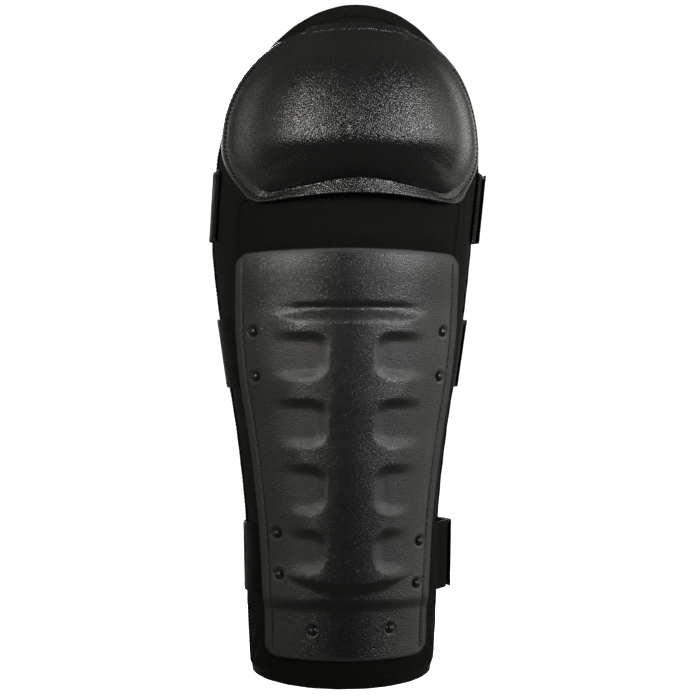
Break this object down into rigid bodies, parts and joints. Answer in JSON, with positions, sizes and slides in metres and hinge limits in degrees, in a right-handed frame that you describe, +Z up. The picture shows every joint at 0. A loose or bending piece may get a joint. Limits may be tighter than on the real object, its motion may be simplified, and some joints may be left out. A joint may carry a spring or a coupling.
{
  "type": "knee and shin guard",
  "caption": "Rigid knee cup and embossed shin shield on a padded leg wrap that folds at the knee, closed behind the leg by wide elastic straps with hook-and-loop ends.",
  "frame": {"origin": "centre of the leg at the height of the knee's fold", "axes": "+Z up the leg towards the thigh, -Y towards the front of the leg, +X towards the closing end of the straps"},
  "size_m": [0.2069, 0.1847, 0.4868],
  "materials": {
    "shell_plastic": "pebble-grained black moulded plastic with a low sheen",
    "foam": "closed-cell foam faced with brushed black fabric",
    "pad_fabric": "smooth black knit laminated to foam",
    "bridge_fabric": "black twill over padding",
    "lining_fabric": "open black spacer mesh",
    "binding_tape": "ribbed black binding tape",
    "webbing": "ribbed black elastic webbing",
    "hook_tape": "black hook tape",
    "loop_tape": "black brushed loop tape",
    "rivet_metal": "black painted domed rivet heads",
    "washer_steel": "plain zinc-plated steel"
  },
  "bodies": {
    "shin": {"bridge_panel": "bridge_fabric", "flex_pad": "pad_fabric", "shin_shield": "shell_plastic", "shin_pad": "pad_fabric", "shin_lining": "lining_fabric", "shin_binding": "binding_tape", "middle_rivets": "rivet_metal", "lower_rivets": "rivet_metal", "bottom_rivets": "rivet_metal", "middle_washers": "washer_steel", "lower_washers": "washer_steel", "bottom_washers": "washer_steel", "middle_anchor": "webbing", "middle_tab": "webbing", "middle_loop_patch": "loop_tape", "lower_anchor": "webbing", "lower_tab": "webbing", "lower_loop_patch": "loop_tape"},
    "knee": {"knee_cup": "shell_plastic", "cup_cushion": "foam", "knee_pad": "pad_fabric", "knee_lining": "lining_fabric", "knee_binding": "binding_tape", "top_anchor": "webbing", "top_tab": "webbing", "top_loop_patch": "loop_tape"},
    "strap_top": {"top_strap": "webbing", "top_hook_patch": "hook_tape"},
    "strap_mid": {"middle_strap": "webbing", "middle_hook_patch": "hook_tape"},
    "strap_low": {"lower_strap": "webbing", "lower_hook_patch": "hook_tape"}
  },
  "joints": [
    {"name": "knee_flex", "type": "hinge", "parent": "shin", "child": "knee", "pos_m": [0, -0.055, 0], "axis": [-1, 0, 0], "range_deg": [0, 30], "stiffness_Nm_per_rad": 2, "deforming": ["flex_pad", "bridge_panel"]},
    {"name": "strap_top_peel", "type": "hinge", "parent": "knee", "child": "strap_top", "pos_m": [-0.0963, 0.0004, 0.015], "axis": [0.0587, 0, 0.9983], "range_deg": [0, 120]},
    {"name": "strap_mid_peel", "type": "hinge", "parent": "shin", "child": "strap_mid", "pos_m": [-0.0886, 0.0004, -0.0924], "axis": [-0.1435, 0, 0.9897], "range_deg": [0, 120]},
    {"name": "strap_low_peel", "type": "hinge", "parent": "shin", "child": "strap_low", "pos_m": [-0.0725, 0.0004, -0.241], "axis": [-0.0168, 0, 0.9999], "range_deg": [0, 120]}
  ]
}
